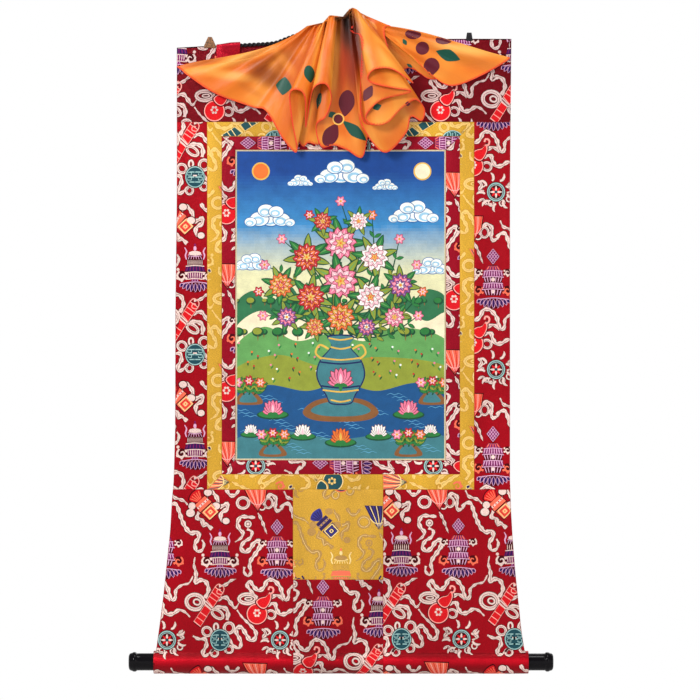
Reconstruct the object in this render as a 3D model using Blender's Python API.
"""Thangka scroll painting: a framed cloth mounting wound on a roller, under a gathered silk cover.

Metres, +Z up, the front faces -Y. The origin is the middle of the cloth's top edge.
"""

import math

import bmesh
import bpy
from mathutils import Vector

MM = 0.001

# Cloth thickness and the gap left between neighbouring pieces
CLOTH = 1.6 * MM
CANVAS = 1.2 * MM
PIPING_THICK = 2.2 * MM
SILK = 1.2 * MM
GAP = 0.3 * MM

# Heights of the seams, down from the top edge
FRAME_TOP = -118.0 * MM
BORDER_TOP = -139.0 * MM
PICTURE_TOP = -160.5 * MM
PICTURE_BOTTOM = -606.5 * MM
BORDER_BOTTOM = -629.0 * MM
FRAME_BOTTOM = -651.0 * MM
PATCH_BOTTOM = -781.5 * MM

# Seams across, from the middle: the left side then the right
FRAME_X = (-194.0 * MM, 193.0 * MM)
BORDER_X = (-173.0 * MM, 172.5 * MM)
PICTURE_X = (-151.0 * MM, 150.0 * MM)
PATCH_X = (-69.5 * MM, 61.0 * MM)
PIPING = 2.0 * MM

# The top edge is sewn a little askew and crowned: its rise per metre across, and its fall per square metre
TOP_SLOPE = 0.027
TOP_CROWN = 0.0684
HEM_DEPTH = 20 * MM
HEM_TURN = 1.0 * MM

# Outer edges of the mounting: height, distance from the middle
LEFT_EDGE = (
    (0, -238), (-222, -238), (-391, -240), (-565, -240.5), (-637, -242.5), (-666, -245), (-710, -247.5),
    (-753, -252), (-797, -256.5), (-840, -262), (-884, -268), (-898, -272),
)
RIGHT_EDGE = (
    (0, 247), (-101, 246), (-217, 245), (-637, 245), (-681, 246.5), (-724, 249), (-768, 252.5), (-811, 257),
    (-855, 261.5), (-884, 266), (-898, 272),
)

# The roller: the cloth comes down in front of it, then winds round it
ROLLER_Z = -901.5 * MM
ROLLER_Y = 11.5 * MM
DOWEL_R = 12.5 * MM
WOUND_R = 16.9 * MM
WIND_PITCH = 2.0 * MM
WIND_TURN = math.radians(590)
CONTACT = math.radians(40)
CREASE_R = 6 * MM
ROLLER_HALF = 272 * MM

# Turned knob: distance from its inner face, radius
KNOB_PROFILE = ((0, 12.5), (24, 12.5), (25, 13.6), (26.5, 14.3), (28.5, 14.3), (30, 13.5), (33, 12.6), (35, 10.6), (36, 7.5))
KNOB_SIDES = 28

# How far the cloth is from flat
SWELL = 1.4 * MM
EDGE_CURL = 2.0 * MM

# Loops over the top edge: middle, width at the edge, width at the top, height over the edge, strap thickness
LOOPS = {
    "loop_left": dict(x=-190, base=18, top=6, height=13.5, thick=1.4),
    "loop_right": dict(x=186, base=10, top=7, height=9.5, thick=1.4),
}
LOOP_FRONT = 3.5 * MM
LOOP_BACK = 20 * MM

# Plain patch folded over the top edge, which bulges over the cord's sewn end
PATCH_SPAN = (-180.6 * MM, -146 * MM)
PATCH_BULGE = 6.4 * MM
PATCH_RISE = (1.3 * MM, 1.7 * MM)
PATCH_DEPTHS = (-22, -16, -11, -7, -3.5, -1.5, 0)

# Hanging cord: x, y and z of the points on its route, from under the patch over the nail to the right loop
CORD_R = 3.0 * MM
CORD_ROUTE = (
    (-152, -4.15, -7.4), (-142, -4.15, -7.0), (-130, -4.15, -6.3), (-114, -4.15, -5.5), (-103, -4.2, -4.6),
    (-95, -4.3, -3.4), (-87, -4.4, -0.8), (-78, -4.5, 2.8), (-66, -4.8, 7.2), (-50, -5.2, 12.3),
    (-28, -5.7, 18.3), (-10, -6.1, 22.6), (4, -6.2, 24.5), (18, -5.4, 22.8), (42, -2.6, 17),
    (66, 1.6, 10.4), (86, 5.0, 6.4), (102, 6.4, 3.4), (125, 6.4, 0), (150, 6.4, -3.8), (168, 6.4, -8), (178.5, 6.4, -10.5),
)
CORD_POINTS = 60

# The silk cover's hem, a row for each bend, from the left wing along the front and back behind:
# across, height, out from the mounting's face, and how far that fold sags between gather and hem
HEM = (
    (-236, -38, 1.0, 12), (-232, -42, 3.0, 21), (-219, -53, 5.0, 12), (-182, -77, 9.0, 5), (-130, -96, 5.0, 2),
    (-108, -103, 14, 0), (-84, -143, 18, 0), (-64, -162, 16, 0), (-71, -117, 25, 0), (-74, -79, 33, 0),
    (-62, -73, 37, 0), (-52, -85, 32, 0), (-51, -127, 20, 0), (-45, -89, 29, 0), (-38, -69, 38, 0),
    (-22, -65, 40, 0), (-14, -85, 32, 0), (-22, -111, 25, 0), (-36, -124, 18, 0), (-29, -154, 12, 0),
    (-10, -152, 8.0, 0), (9, -159, 8.0, 0), (30, -170, 11, 0), (38, -143, 8.0, 0), (47, -109, 7.0, 0),
    (36, -93, 16, 0), (26, -108, 24, 0), (36, -135, 24, 0), (64, -163, 19, 0), (94, -135, 21, 0),
    (101, -111, 19, 0), (117, -117, 16, 0), (121, -100, 21, 0), (107, -87, 30, 0), (86, -101, 35, 0),
    (66, -121, 37, 0), (44, -123, 36, 0), (36, -111, 38, 0), (56, -89, 42, 0), (88, -80, 42, 0),
    (101, -75, 45, 0), (70, -70, 49, 0), (40, -61, 49, 0), (47, -45, 54, 0), (74, -44, 54, 0),
    (104, -64, 45, 0), (90, -46, 37, 0), (73, -23, 28, 0), (64, 2, 19, 0), (63, 16, 14, 0),
    (69, 21, 11, 0), (77, 16, 9.5, 0), (90, 0, 10, 0), (109, -28, 10, 0), (132, -51, 10, 0),
    (161, -66, 9.0, 0), (205, -50, 6.0, -3), (245, -25, 1.0, -6),
    (205, -34, 1.6, -6), (160, -52, 2.4, -3), (130, -56, 3.0, 0), (115, -48, 4.0, 0), (103, -41, 5.0, 0),
    (91, -43, 5.0, 0), (60, -75, 3.0, 0),
    (-8, -95, 2.6, 0), (-28, -147, 5.0, 0), (-47, -148, 6.0, 0), (-58, -151, 6.0, 0), (-84, -101, 3.0, 0),
    (-140, -57, 2.6, 4), (-200, -45, 1.6, 8),
)
HEM_BACK = 58
HEM_STEPS = 2
SILK_RINGS = 10

# The gather: half width, height at its ends, and its humps: across, height, half width to the left and right
GATHER_HALF = 51 * MM
GATHER_REACH = 116 * MM
GATHER_Z = 20 * MM
GATHER_HUMPS = ((-15, 14.5, 10, 10), (16, 25.5, 16, 21))
GATHER_DEPTH = 0.36
GATHER_OUT = (12 * MM, 10 * MM)
CROWN = (10, 17, 33)

COLOURS = {
    "brocade": (0.36, 0.005, 0.014), "yellow": (0.62, 0.33, 0.04), "border": (0.33, 0.006, 0.02),
    "canvas": (0.12, 0.25, 0.30), "piping": (0.62, 0.52, 0.42), "silk": (0.90, 0.25, 0.03),
    "lacquer": (0.006, 0.005, 0.007), "wood": (0.35, 0.21, 0.11), "cord": (0.012, 0.010, 0.014),
    "loop": (0.06, 0.03, 0.02),
}


def clear_scene():
    for obj in list(bpy.data.objects):
        bpy.data.objects.remove(obj)


def material(name, roughness=0.6):
    """A plain finish of this colour, made once."""
    found = bpy.data.materials.get(name)
    if found:
        return found
    made = bpy.data.materials.new(name)
    made.use_nodes = True
    shader = made.node_tree.nodes["Principled BSDF"]
    shader.inputs["Base Color"].default_value = (*COLOURS[name], 1)
    shader.inputs["Roughness"].default_value = roughness
    return made


def smooth_step(value, low, high):
    t = min(max((value - low) / (high - low), 0), 1)
    return t * t * (3 - 2 * t)


def along(table, height):
    """Distance from the middle at this height, read from an edge's rows."""
    for (z0, x0), (z1, x1) in zip(table, table[1:]):
        if height / MM >= z1:
            t = min(max((height / MM - z0) / (z1 - z0), 0), 1)
            return (x0 + (x1 - x0) * t) * MM
    return table[-1][1] * MM


def top_edge(x):
    return TOP_SLOPE * x - TOP_CROWN * x * x


def swell(x, z):
    """How far the hung cloth stands behind its plane here: soft waves, and side edges that curl forward."""
    free = smooth_step(-z, 60 * MM, 260 * MM) * smooth_step(z, ROLLER_Z + 40 * MM, ROLLER_Z + 170 * MM)
    waves = math.sin(x / MM / 49 + 0.6 + z / MM / 260) + 0.6 * math.sin(z / MM / 83 - x / MM / 130)
    curl = EDGE_CURL * max(abs(x) / MM - 200, 0) ** 2 / 45 ** 2
    return free * (SWELL * waves - curl)


def link(name, mesh, finish):
    mesh.materials.append(finish)
    obj = bpy.data.objects.new(name, mesh)
    bpy.context.scene.collection.objects.link(obj)
    return obj


def grid_mesh(name, rows, closed=False, tip=None):
    """A sheet of quads through rows of points. A closed one joins its last column to its first."""
    mesh = bmesh.new()
    made = [[mesh.verts.new(point) for point in row] for row in rows]
    columns = len(rows[0])
    for upper, lower in zip(made, made[1:]):
        for i in range(columns if closed else columns - 1):
            j = (i + 1) % columns
            mesh.faces.new((upper[i], lower[i], lower[j], upper[j]))
    if tip is not None:
        peak = mesh.verts.new(tip)
        for i in range(columns):
            mesh.faces.new((peak, made[0][i], made[0][(i + 1) % columns]))
    data = bpy.data.meshes.new(name)
    mesh.normal_update()
    mesh.to_mesh(data)
    mesh.free()
    return data


def thicken(obj, thickness):
    solid = obj.modifiers.new("thickness", "SOLIDIFY")
    solid.thickness = thickness
    solid.offset = 0
    obj.data.shade_smooth()
    return obj


def flat_piece(name, corners, finish, thickness=CLOTH, cell=32 * MM, edges=(None, None)):
    """A hung piece cut from corners (x, z): top left, top right, bottom right, bottom left.

    edges are curved side outlines that replace the straight left and right ones."""
    (ax, az), (bx, bz), (cx, cz), (dx, dz) = corners
    across = max(1, round(max(bx - ax, cx - dx) / cell))
    down = max(1, round(max(az - dz, bz - cz) / cell))
    rows = []
    for j in range(down + 1):
        v = j / down
        row = []
        for i in range(across + 1):
            u = i / across
            z = (az + (dz - az) * v) * (1 - u) + (bz + (cz - bz) * v) * u
            left = along(edges[0], z) if edges[0] else ax + (dx - ax) * v
            right = along(edges[1], z) if edges[1] else bx + (cx - bx) * v
            x = left + (right - left) * u
            row.append((x, swell(x, z), z))
        rows.append(row)
    return thicken(link(name, grid_mesh(name, rows), finish), thickness)


def ring(prefix, outer_x, outer_z, inner_x, inner_z, finish, thickness=CLOTH):
    """Four mitred strips round an opening, a gap apart at the mitres and at both rims."""
    g = GAP / 2
    left, right = outer_x[0] + g, outer_x[1] - g
    top, bottom = outer_z[0] - g, outer_z[1] + g
    in_left, in_right = inner_x[0] - g, inner_x[1] + g
    in_top, in_bottom = inner_z[0] + g, inner_z[1] - g
    m = g * 1.5
    pieces = {
        "top": ((left + m, top), (right - m, top), (in_right - m, in_top), (in_left + m, in_top)),
        "bottom": ((in_left + m, in_bottom), (in_right - m, in_bottom), (right - m, bottom), (left + m, bottom)),
        "left": ((left, top - m), (in_left, in_top - m), (in_left, in_bottom + m), (left, bottom + m)),
        "right": ((in_right, in_top - m), (right, top - m), (right, bottom + m), (in_right, in_bottom + m)),
    }
    for side, corners in pieces.items():
        flat_piece(f"{prefix}_{side}", corners, finish, thickness)


def top_strip():
    """Brocade strip whose top hem is folded over to the back."""
    low = FRAME_TOP + GAP / 2
    turn = [math.radians(a) for a in (0, 60, 120, 180)]
    columns = 16
    rows = []
    for share in (1, 0.75, 0.5, 0.25):
        rows.append([])
        for i in range(columns + 1):
            edge = top_edge(0)
            z = edge + (low - edge) * share
            x0, x1 = along(LEFT_EDGE, z), along(RIGHT_EDGE, z)
            x = x0 + (x1 - x0) * i / columns
            z += top_edge(x) * (1 - share)
            rows[-1].append((x, swell(x, z), z))
    bend = CLOTH / 2 + HEM_TURN
    x0, x1 = along(LEFT_EDGE, 0), along(RIGHT_EDGE, 0)
    for a in turn:
        rows.append([])
        for i in range(columns + 1):
            x = x0 + (x1 - x0) * i / columns
            rows[-1].append((x, HEM_TURN - HEM_TURN * math.cos(a), top_edge(x) - bend + HEM_TURN * math.sin(a)))
    rows.append([(x, y, z - HEM_DEPTH) for x, y, z in rows[-1]])
    thicken(link("top_strip", grid_mesh("top_strip", rows), material("brocade", 0.4)), CLOTH)


def winding():
    """Points (y, z) of the cloth's path over the roller: the crease, then a spiral down to the dowel."""
    start = ROLLER_Z + WOUND_R * math.sin(CONTACT) + CREASE_R * math.sin(CONTACT)
    path = []
    for k in range(3):
        a = CONTACT * k / 3
        path.append((-CREASE_R + CREASE_R * math.cos(a), start - CREASE_R * math.sin(a)))
    steps = 34
    for k in range(steps + 1):
        turned = WIND_TURN * k / steps
        a = CONTACT - turned
        r = WOUND_R - WIND_PITCH * turned / math.tau
        path.append((ROLLER_Y - r * math.cos(a), ROLLER_Z + r * math.sin(a)))
    return path


def bottom_piece(name, left, right, top):
    """A piece of the bottom panel, from its seam down and round the roller. left and right give x at a height."""
    path = winding()
    start = path[0][1]
    down = max(2, round((top - start) / (38 * MM)))
    across = max(2, round((right(start) - left(start)) / (52 * MM)))
    heights = [(top + (start - top) * j / down, None, 0) for j in range(down)]
    heights += [(min(z, start), y, z) for y, z in path]
    rows = []
    for cut, y, z in heights:
        row = []
        for i in range(across + 1):
            x = left(cut) + (right(cut) - left(cut)) * i / across
            row.append((x, swell(x, cut), cut) if y is None else (x, y, z))
        rows.append(row)
    thicken(link(name, grid_mesh(name, rows), material("brocade", 0.4)), CLOTH)


def bottom_panel():
    g = GAP / 2
    wound_left = lambda z: -ROLLER_HALF if z < ROLLER_Z + 17 * MM else along(LEFT_EDGE, z)
    wound_right = lambda z: ROLLER_HALF if z < ROLLER_Z + 17 * MM else along(RIGHT_EDGE, z)
    bottom_piece("bottom_left", wound_left, lambda z: PATCH_X[0] - g, FRAME_BOTTOM - g)
    bottom_piece("bottom_centre", lambda z: PATCH_X[0] + g, lambda z: PATCH_X[1] - g, PATCH_BOTTOM - g)
    bottom_piece("bottom_right", lambda z: PATCH_X[1] + g, wound_right, FRAME_BOTTOM - g)
    patch = ((PATCH_X[0] + g, FRAME_BOTTOM - g), (PATCH_X[1] - g, FRAME_BOTTOM - g),
             (PATCH_X[1] - g, PATCH_BOTTOM + g), (PATCH_X[0] + g, PATCH_BOTTOM + g))
    flat_piece("door_patch", patch, material("yellow", 0.4))


def turned(name, profile, sides, finish, side):
    """A closed turned piece along X. profile is (distance outwards, radius); side is -1 for left, 1 for right."""
    mesh = bmesh.new()
    rings = []
    for a, r in profile:
        ring_verts = []
        for k in range(sides):
            t = math.tau * k / sides
            ring_verts.append(mesh.verts.new((side * a, ROLLER_Y + r * math.cos(t), ROLLER_Z + r * math.sin(t))))
        rings.append(ring_verts)
    for first, second in zip(rings, rings[1:]):
        for k in range(sides):
            j = (k + 1) % sides
            mesh.faces.new((first[k], first[j], second[j], second[k]))
    mesh.faces.new(rings[0])
    mesh.faces.new(rings[-1])
    bmesh.ops.recalc_face_normals(mesh, faces=mesh.faces)
    data = bpy.data.meshes.new(name)
    mesh.to_mesh(data)
    mesh.free()
    data.shade_smooth()
    data.set_sharp_from_angle(angle=math.radians(40))
    return link(name, data, finish)


def roller():
    turned("roller_dowel", ((-ROLLER_HALF, DOWEL_R), (ROLLER_HALF, DOWEL_R)), 24, material("wood"), 1)
    start = ROLLER_HALF + GAP
    profile = [(start + a * MM, r * MM) for a, r in KNOB_PROFILE]
    turned("knob_left", profile, KNOB_SIDES, material("lacquer", 0.18), -1)
    turned("knob_right", profile, KNOB_SIDES, material("lacquer", 0.18), 1)


def loop(name, x, base, top, height, thick):
    """A strap folded over the top edge and pinched to a narrow top."""
    x, base, top, height, thick = (n * MM for n in (x, base, top, height, thick))
    edge = top_edge(x)
    front = -(CLOTH + thick) / 2 - GAP
    back = CLOTH / 2 + 2 * HEM_TURN + thick / 2 + GAP
    middle, reach = (front + back) / 2, (back - front) / 2
    path = [(front, edge - LOOP_FRONT, base)]
    for k in range(9):
        a = math.pi * k / 8
        narrow = base + (top - base) * math.sin(a)
        path.append((middle - reach * math.cos(a), edge + (height - thick / 2) * math.sin(a), narrow))
    path.append((back, edge - LOOP_BACK, base * 0.8))
    rows = [[(x - w / 2, y, z), (x, y, z), (x + w / 2, y, z)] for y, z, w in path]
    thicken(link(name, grid_mesh(name, rows), material("loop")), thick)


def cord_patch():
    """The patch: down the front, over the edge and down the back. Its front stands out where the cord is under it."""
    thick = CANVAS
    flat = -(CLOTH + thick) / 2 - GAP
    back = CLOTH / 2 + 2 * HEM_TURN + thick / 2 + GAP
    columns = []
    for i in range(13):
        x = PATCH_SPAN[0] + (PATCH_SPAN[1] - PATCH_SPAN[0]) * i / 12
        lift = smooth_step(x, -178 * MM, -157 * MM)
        edge = top_edge(x)
        column = []
        for depth in PATCH_DEPTHS:
            y = flat - PATCH_BULGE * lift * math.exp(-(min(depth + 1.6, 0) / 7) ** 2)
            column.append((x, y, edge + depth * MM))
        middle, reach = (y + back) / 2, (back - y) / 2
        rise = PATCH_RISE[0] + PATCH_RISE[1] * lift
        for k in range(1, 9):
            a = math.pi * k / 8
            column.append((x, middle - reach * math.cos(a), edge + rise * math.sin(a)))
        column.append((x, back, edge - LOOP_BACK))
        columns.append(column)
    rows = [list(row) for row in zip(*columns)]
    thicken(link("cord_patch", grid_mesh("cord_patch", rows), material("brocade", 0.4)), thick)


def spline_point(points, t):
    """Catmull-Rom through the points, at t from 0 to 1."""
    spans = len(points) - 1
    k = min(int(t * spans), spans - 1)
    f = t * spans - k
    p = [Vector(points[min(max(k + d, 0), spans)]) for d in (-1, 0, 1, 2)]
    return 0.5 * ((2 * p[1]) + (p[2] - p[0]) * f + (2 * p[0] - 5 * p[1] + 4 * p[2] - p[3]) * f * f
                  + (3 * p[1] - p[0] - 3 * p[2] + p[3]) * f ** 3)


def hanging_cord():
    data = bpy.data.curves.new("hanging_cord", "CURVE")
    data.dimensions = "3D"
    data.bevel_depth = CORD_R
    data.bevel_resolution = 2
    data.use_fill_caps = True
    line = data.splines.new("POLY")
    line.points.add(CORD_POINTS - 1)
    for i, point in enumerate(line.points):
        point.co = (*(spline_point(CORD_ROUTE, i / (CORD_POINTS - 1)) * MM), 1)
    data.materials.append(material("cord"))
    obj = bpy.data.objects.new("hanging_cord", data)
    bpy.context.scene.collection.objects.link(obj)


def hem_points():
    """The hem's rows made into a smooth closed line: across, height, out and sag in metres, and whether it is behind."""
    count = len(HEM)
    made = []
    for k in range(count):
        p = [Vector(HEM[(k + d) % count]) for d in (-1, 0, 1, 2)]
        for step in range(HEM_STEPS):
            f = step / HEM_STEPS
            point = 0.5 * ((2 * p[1]) + (p[2] - p[0]) * f + (2 * p[0] - 5 * p[1] + 4 * p[2] - p[3]) * f * f
                           + (3 * p[1] - p[0] - 3 * p[2] + p[3]) * f ** 3)
            point[2] = max(point[2], 0.95)
            made.append((*(point * MM), k >= HEM_BACK - 1))
    return made


def gather_point(x, out, behind):
    """Where the fold that ends at this hem point is gathered: across, height, out."""
    gx = GATHER_HALF * math.tanh(x / GATHER_REACH)
    rise = 0
    for centre, height, to_left, to_right in GATHER_HUMPS:
        away = gx / MM - centre
        rise += height * MM * math.exp(-(away / (to_left if away < 0 else to_right)) ** 2)
    depth = GATHER_OUT[1] if behind else GATHER_OUT[0] + GATHER_DEPTH * out
    return gx, GATHER_Z + rise * (0.8 if behind else 1), depth


def silk_cover():
    """A square of silk lifted by its middle: folds run from the gather to the hem, all the way round."""
    hem = hem_points()
    rows = []
    for j in range(SILK_RINGS + 1):
        s = (j / SILK_RINGS) ** 1.15
        row = []
        for x, z, out, sag, behind in hem:
            gx, gz, depth = gather_point(x, out, behind)
            bulge = 6.75 * s * (1 - s) ** 2
            px = gx + (x - gx) * s
            pz = gz + (z - gz) * s - sag * bulge
            po = depth + (out - depth) * s ** 0.85
            row.append((px, -CLOTH / 2 - po, pz))
        rows.append(row)
    tip = (CROWN[0] * MM, -CLOTH / 2 - CROWN[1] * MM, CROWN[2] * MM)
    thicken(link("silk_cover", grid_mesh("silk_cover", rows, True, tip), material("silk", 0.35)), SILK)


def main():
    clear_scene()
    brocade, yellow, border = material("brocade", 0.4), material("yellow", 0.4), material("border", 0.4)
    top_strip()
    g = GAP / 2
    low, high = FRAME_BOTTOM + g, FRAME_TOP - g
    flat_piece("left_strip", ((0, high), (FRAME_X[0] - g, high), (FRAME_X[0] - g, low), (0, low)),
               brocade, edges=(LEFT_EDGE, None))
    flat_piece("right_strip", ((FRAME_X[1] + g, high), (RIGHT_EDGE[0][1] * MM, high),
                               (RIGHT_EDGE[0][1] * MM, low), (FRAME_X[1] + g, low)),
               brocade, edges=(None, RIGHT_EDGE))
    ring("yellow", FRAME_X, (FRAME_TOP, FRAME_BOTTOM), BORDER_X, (BORDER_TOP, BORDER_BOTTOM), yellow)
    rim_x = (PICTURE_X[0] - PIPING, PICTURE_X[1] + PIPING)
    rim_z = (PICTURE_TOP + PIPING, PICTURE_BOTTOM - PIPING)
    ring("inner", BORDER_X, (BORDER_TOP, BORDER_BOTTOM), rim_x, rim_z, border)
    ring("piping", rim_x, rim_z, PICTURE_X, (PICTURE_TOP, PICTURE_BOTTOM), material("piping"), PIPING_THICK)
    left, right, top, bottom = PICTURE_X[0] + g, PICTURE_X[1] - g, PICTURE_TOP - g, PICTURE_BOTTOM + g
    flat_piece("picture", ((left, top), (right, top), (right, bottom), (left, bottom)), material("canvas"), CANVAS)
    bottom_panel()
    roller()
    for name, sizes in LOOPS.items():
        loop(name, **sizes)
    cord_patch()
    hanging_cord()
    silk_cover()


main()
